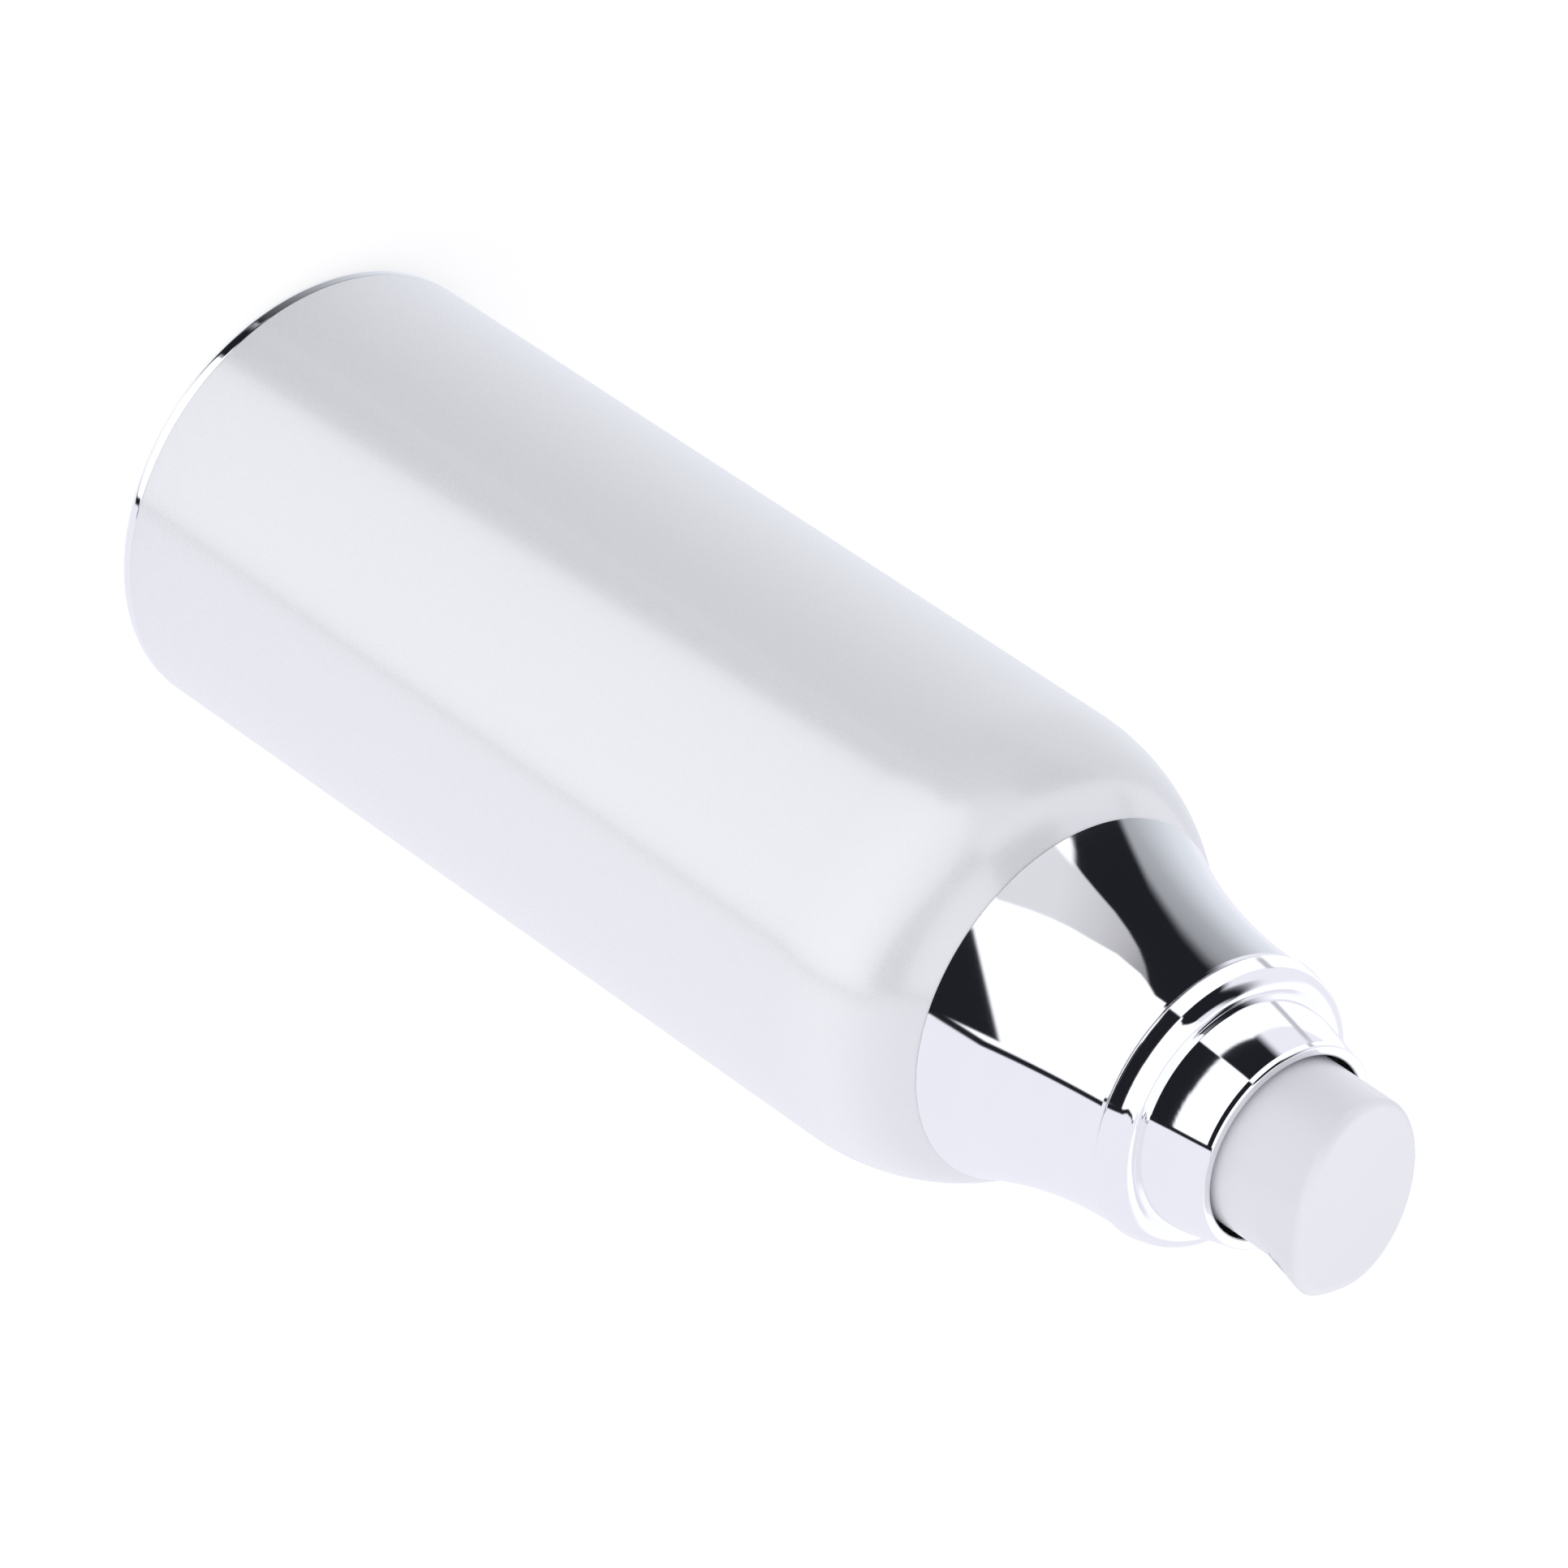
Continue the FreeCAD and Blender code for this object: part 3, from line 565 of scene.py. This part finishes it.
cameraView = {"azimuth": 15.0, "elevation": 37.882, "roll": 34.0, "focalPixels": 12500.0,
              "imagePixels": 1932.0, "sensor": 36.0, "near": 0.05, "far": 20.0,
              "base": (-43.13, -27.0, 927.85)}     # the bottle's foot from the camera: right, down, ahead
azimuth = math.radians(cameraView["azimuth"])
towards = np.array([math.sin(azimuth), -math.cos(azimuth), 0.0])     # level, from the bottle to the camera
across = np.array([math.cos(azimuth), math.sin(azimuth), 0.0])       # level, across the view
up = np.array([0, 0, 1.0])


def stand(name, data, right, top, back, spot):
    # a camera or lamp at its spot; its three axes are columns of its matrix
    turn = np.eye(4)
    turn[:3] = np.stack([right, top, back, spot], axis=1)
    thing = bpy.data.objects.new(name, data)
    thing.matrix_world = Matrix(turn.tolist())
    scene.collection.objects.link(thing)
    return thing


def makeCamera():
    # the fitted view: the bottle's axis lies aslant in the picture, so the camera is rolled
    p = cameraView
    rise, roll = math.radians(p["elevation"]), math.radians(p["roll"])
    ahead = -(math.cos(rise) * towards + math.sin(rise) * up)
    axis = math.cos(rise) * up - math.sin(rise) * towards
    right = math.cos(roll) * axis - math.sin(roll) * across
    down = math.sin(roll) * axis + math.cos(roll) * across
    spot = -(p["base"][0] * right + p["base"][1] * down + p["base"][2] * ahead) * mm
    data = bpy.data.cameras.new("camera")
    data.sensor_width = p["sensor"]
    data.lens = p["sensor"] * p["focalPixels"] / p["imagePixels"]
    data.clip_start, data.clip_end = p["near"], p["far"]
    scene.camera = stand("camera", data, right, -down, -ahead, spot)


makeCamera()

floorLook = {"size": 6.0, "bounce": tint(0.82, 0.82, 0.83), "shown": tint(0.45, 0.45, 0.455),
             "shownLight": tint(0.46, 0.46, 0.465), "glow": 0.62, "grainScale": 12.0, "grainDetail": 2.0}


def makeFloor():
    # pale sheet: white to the camera with the soft shadow left in it, pale to the light that bounces off it
    p = floorLook
    f = Finish(bpy.data.materials.new("floor_sheet"))
    seen = f.add("ShaderNodeLightPath", output="Is Camera Ray")
    shade = f.mix(f.noise(p["grainScale"], p["grainDetail"]), p["shown"], p["shownLight"])
    shadow = f.add("ShaderNodeBsdfDiffuse", None, {"Color": shade})
    glow = f.add("ShaderNodeEmission", None, {"Color": tint(1, 1, 1), "Strength": p["glow"]})
    lit = f.add("ShaderNodeAddShader", None, {0: shadow, 1: glow})
    plain = f.add("ShaderNodeBsdfDiffuse", None, {"Color": p["bounce"]})
    both = f.add("ShaderNodeMixShader", None, {0: seen, 1: plain, 2: lit})
    f.add("ShaderNodeOutputMaterial", None, {"Surface": both})
    half = p["size"] / 2
    corners = [(-half, -half, 0), (half, -half, 0), (half, half, 0), (-half, half, 0)]
    mesh = bpy.data.meshes.new("floorSheet")
    mesh.from_pydata(corners, [], [(0, 1, 2, 3)])
    mesh.materials.append(f.owner)
    sheet = bpy.data.objects.new("floorSheet", mesh)
    sheet.visible_glossy = False
    scene.collection.objects.link(sheet)


makeFloor()

# angles are in degrees from the camera's side, heights in millimetres; a pair of lists is a border or ramp:
# where it is given, then its value there
tentLook = {
    "radius": 60.0, "tip": 0.5, "bottom": -140.0, "plainTop": 80.0, "plainRows": 12,
    "rows": [(80.4, 102, 0.4), (102, 113, 0.12), (113, 126, 0.3), (126, 330, 4.0)],     # from, to, step
    "columns": [(-180, -112, 4.0), (-112, 62, 0.5), (62, 180, 4.0)],
    "cloth": (0.89, 0.89, 0.975), "white": (1.13, 1.15, 1.2), "black": (0.014, 0.015, 0.02),
    "wedge": (0.79, 0.79, 0.84), "bar": (0.55, 0.55, 0.6), "duskHue": (0.99, 1.03, 1.11), "soft": 0.7,
    # the two heights between the three fields, by angle
    "lowerTop": ([-120, -100, -80, -60, -40, -20, 0, 20, 40, 60, 80, 100],
                 [91, 97, 102.5, 106.5, 109.5, 111.6, 112.2, 111.8, 109.8, 106.3, 101.8, 96]),
    "upperFoot": ([-120, -100, -80, -60, -30, -29, -15, 0, 20, 40],
                  [109, 111, 114, 117, 118.8, 119.2, 119.7, 119.9, 119.2, 118.0]),
    "lowerSoft": (0, 0.3), "upperSoft": (-0.2, 0.2),
    # tones by angle beside the sleeve and further down
    "dusk": ([-150, -138, -124, -112, -100, -88, -78], [0.86, 0.8, 0.72, 0.58, 0.42, 0.34, 0.22]),
    "paleDusk": ([-150, -120, -100, -80, -60, -44], [0.9, 0.83, 0.7, 0.46, 0.18, 0.04]),
    "nearSleeve": (60, 84), "duskStart": (-150, -140), "duskEnd": -60, "duskShift": 16, "duskSoft": 2,
    # lower field, by height
    "wedgeFade": ([94, 97, 101, 106], [0.42, 0.6, 0.78, 0.95]),
    "wedgeSpan": (-64, -18), "wedgeFoot": (84, 88),
    "panelLeft": ([-30, 62, 84, 90, 92, 94, 98, 102, 104, 106, 108, 111],
                  [-22.5, -32.5, -34.5, -33.5, -36.5, -38.5, -38.5, -34.5, -32.5, -29.5, -26, -20]),
    "panelEnd": (41, 42),
    "flagLeft": ([60, 84, 88, 92, 96, 98, 102], [-44, -77, -78, -81, -88, -97, -105]),
    "flagRight": ([-30, 62, 84, 90, 92, 94, 96, 98, 100, 104, 108],
                  [-22.5, -32.5, -34.5, -33.5, -36.5, -44, -50, -54, -56.5, -58, -62]),
    "flagFadeIn": (-5, 7), "flagTop": (104.4, 105.2),
    "glintSpan": (-66, -57), "glintSoft": 1.5, "glintFoot": (104.6, 105.4),
    "cornerSpan": (-6, 39), "cornerFoot": 111.2, "cornerSlope": 0.209, "cornerSoft": (-0.25, 0.25),
    # middle field
    "middlePanel": (-150, -29.5), "middleFlag": (-29.5, 37),
    # upper field, by height
    "upperFlagStart": ([119, 138, 150, 162, 174, 186, 198, 210, 222],
                       [-60, -58, -62, -69, -78, -88, -100, -115, -130]),
    "upperFlagFade": ([119, 140, 160, 222], [10, 12, 40, 45]),
    "upperFlagEnd": ([119, 124, 130, 150, 174, 198, 222, 260], [-30, -30, -27.5, -28, -34, -42, -52, -70]),
    "upperFlagTop": (210, 250), "upperPanelEnd": (37, 38),
    "gap": ([0, 104, 110, 118, 138, 150, 162, 186, 210, 234, 260],
            [43.6, 43.6, 38.5, 37.5, 37, 38, 41, 48, 57.5, 71, 84]),
    "gapPanelStart": 36, "gapHalf": 1.6, "gapSoft": 0.5, "gapTop": (250, 270),
    "barSpan": (-104, -98), "barSoft": 2.0, "barFoot": (3, 7), "barTop": (112, 117),
    "backFrom": (125, 145), "backFoot": (140, 150), "roof": (300, 320),
}


def ease(x, low, high):
    # rises smoothly from 0 at low to 1 at high: 3 t squared less 2 t cubed
    t = np.clip((x - low) / (high - low), 0, 1)
    return t * t * (3 - 2 * t)


def fall(x, low, high):
    # falls smoothly from 1 at low to 0 at high
    return 1 - ease(x, low, high)


def band(x, low, high, soft):
    # 1 between low and high, with soft borders
    return ease(x, low - soft, low + soft) * fall(x, high - soft, high + soft)


def tentPattern(angle, z):
    # panels and flags on the tent's wall, painted one over the other
    p = tentLook
    soft = p["soft"]
    tone = np.ones(angle.shape + (3,)) * np.array(p["cloth"])

    def paint(colour, mask):
        nonlocal tone
        tone = tone * (1 - mask[..., None]) + np.array(colour) * mask[..., None]

    lowerTop = np.interp(angle, *p["lowerTop"])
    upperFoot = np.interp(angle, *p["upperFoot"])
    lower = fall(z - lowerTop, *p["lowerSoft"])
    upper = ease(z - upperFoot, *p["upperSoft"])
    middle = (1 - lower) * (1 - upper)
    # the cloth darkens towards the flags on the left
    nearSleeve = ease(z, *p["nearSleeve"])
    dusk = np.interp(angle, *p["dusk"]) * nearSleeve + np.interp(angle, *p["paleDusk"]) * (1 - nearSleeve)
    duskEnd = p["duskEnd"] + p["duskShift"] * (1 - nearSleeve)
    duskSpan = ease(angle, *p["duskStart"]) * fall(angle - duskEnd, 0, p["duskSoft"])
    paint(dusk[..., None] * np.array(p["duskHue"]), duskSpan * lower)
    # lower field: grey wedge, white panel, black flag with a white glint above it, black corner
    panelLeft = np.interp(z, *p["panelLeft"])
    flagLeft = np.interp(z, *p["flagLeft"])
    flagRight = np.interp(z, *p["flagRight"])
    wedge = np.interp(z, *p["wedgeFade"])[..., None] * np.array(p["wedge"])
    paint(wedge, band(angle, *p["wedgeSpan"], soft) * ease(z, *p["wedgeFoot"]) * lower)
    paint(p["white"], ease(angle - panelLeft, -soft, soft) * fall(angle, *p["panelEnd"]) * lower)
    flag = ease(angle - flagLeft, *p["flagFadeIn"]) * fall(angle - flagRight, -soft, soft)
    paint(p["black"], flag * fall(z, *p["flagTop"]) * lower)
    paint(p["white"], band(angle, *p["glintSpan"], p["glintSoft"]) * ease(z, *p["glintFoot"]) * lower)
    cornerFoot = p["cornerFoot"] - p["cornerSlope"] * angle
    paint(p["black"], band(angle, *p["cornerSpan"], soft) * ease(z - cornerFoot, *p["cornerSoft"]) * lower)
    # middle field: white beside a black flag
    paint(p["white"], band(angle, *p["middlePanel"], soft) * middle)
    paint(p["black"], band(angle, *p["middleFlag"], soft) * middle)
    # upper field: white panel beside a black flag that fades out to the left
    flagStart = np.interp(z, *p["upperFlagStart"])
    flagFade = np.interp(z, *p["upperFlagFade"])
    flagEnd = np.interp(z, *p["upperFlagEnd"])
    paint(p["white"], ease(angle - flagEnd, -soft, soft) * fall(angle, *p["upperPanelEnd"]) * upper)
    flag = ease((angle - flagStart) / flagFade, -1, 0) * fall(angle - flagEnd, -soft, soft)
    paint(p["black"], flag * fall(z, *p["upperFlagTop"]) * upper)
    # a narrow dark gap on the right of the white panels
    gap = np.interp(z, *p["gap"])
    paint(p["white"], band(angle, p["gapPanelStart"], gap, p["gapSoft"]) * upper)
    paint(p["black"], band(angle - gap, -p["gapHalf"], p["gapHalf"], p["gapSoft"]) * fall(z, *p["gapTop"]))
    # a pale bar on the left, and a white back and roof
    bar = band(angle, *p["barSpan"], p["barSoft"]) * ease(z - lowerTop, *p["barFoot"])
    paint(p["bar"], bar * fall(z, *p["barTop"]))
    back = ease(np.abs(angle), *p["backFrom"]) * ease(z, *p["backFoot"])
    paint(p["white"], np.maximum(back, ease(z, *p["roof"])))
    return tone


def makeTent():
    # upright tube round the bottle: radius times the direction of its angle, with a small ring at both ends
    p = tentLook
    angle = np.concatenate([np.arange(*span) for span in p["columns"]])
    plain = np.linspace(p["bottom"], p["plainTop"], p["plainRows"])
    heights = np.concatenate([plain] + [np.arange(*span) for span in p["rows"]])
    radii = np.concatenate([[p["tip"]], np.full(len(heights), p["radius"]), [p["tip"]]])
    heights = np.concatenate([heights[:1], heights, heights[-1:]])
    wide, tall = np.meshgrid(np.radians(angle), heights)
    level = radii[:, None, None] * (np.cos(wide)[..., None] * towards + np.sin(wide)[..., None] * across)
    tent = gridMesh("lightTent", level + tall[..., None] * up, False)
    tones = tentPattern(np.degrees(wide), tall).reshape(-1, 3)
    tones = np.hstack([tones, np.ones((len(tones), 1))])
    layer = tent.data.color_attributes.new("tone", "FLOAT_COLOR", "POINT")
    layer.data.foreach_set("color", tones.astype(np.float32).ravel())
    f = Finish(bpy.data.materials.new("tent_cloth"))
    tone = f.add("ShaderNodeVertexColor", {"layer_name": "tone"})
    cloth = f.add("ShaderNodeEmission", None, {"Color": tone, "Strength": 1.0})
    f.add("ShaderNodeOutputMaterial", None, {"Surface": cloth})
    f.owner.cycles.emission_sampling = "NONE"
    tent.data.materials.append(f.owner)
    tent.visible_camera = False
    tent.visible_diffuse = False
    tent.visible_shadow = False
    tent.visible_transmission = False


makeTent()

lightLook = {"sky": tint(0.985, 0.985, 1.0), "skyStrength": 0.93, "backdrop": tint(1, 1, 1), "keyPower": 0.9,
             "keySize": 0.5, "keySpot": (0.35, 0.5, 0.75)}     # towards the camera, aside, above


def makeSky():
    # an even pale sky lights the piece; the camera and mirror rays see a white backdrop instead
    p = lightLook
    f = Finish(bpy.data.worlds.new("studio"))
    camera, glossy, through = (f.add("ShaderNodeLightPath", output=f"Is {kind} Ray")
                               for kind in ("Camera", "Glossy", "Transmission"))
    seen = f.add("ShaderNodeMath", {"operation": "ADD", "use_clamp": True}, {0: camera, 1: glossy + through})
    sky = f.add("ShaderNodeBackground", None, {"Color": p["sky"], "Strength": p["skyStrength"]})
    backdrop = f.add("ShaderNodeBackground", None, {"Color": p["backdrop"]})
    both = f.add("ShaderNodeMixShader", None, {0: seen, 1: sky, 2: backdrop})
    f.add("ShaderNodeOutputWorld", None, {"Surface": both})
    scene.world = f.owner


def makeKeyLamp():
    # a wide lamp that faces the bottle's foot and gives the shadow its side
    p = lightLook
    lamp = bpy.data.lights.new("keyLamp", "AREA")
    lamp.shape = "DISK"
    lamp.size = p["keySize"]
    lamp.energy = p["keyPower"]
    near, aside, above = p["keySpot"]
    spot = near * towards + aside * across + above * up
    back = spot / np.linalg.norm(spot)
    right = np.cross(up, back)
    right /= np.linalg.norm(right)
    key = stand("keyLamp", lamp, right, np.cross(back, right), back, spot)
    key.visible_glossy = False


makeSky()
makeKeyLamp()
scene.view_settings.view_transform = "Standard"
print("studio ready")
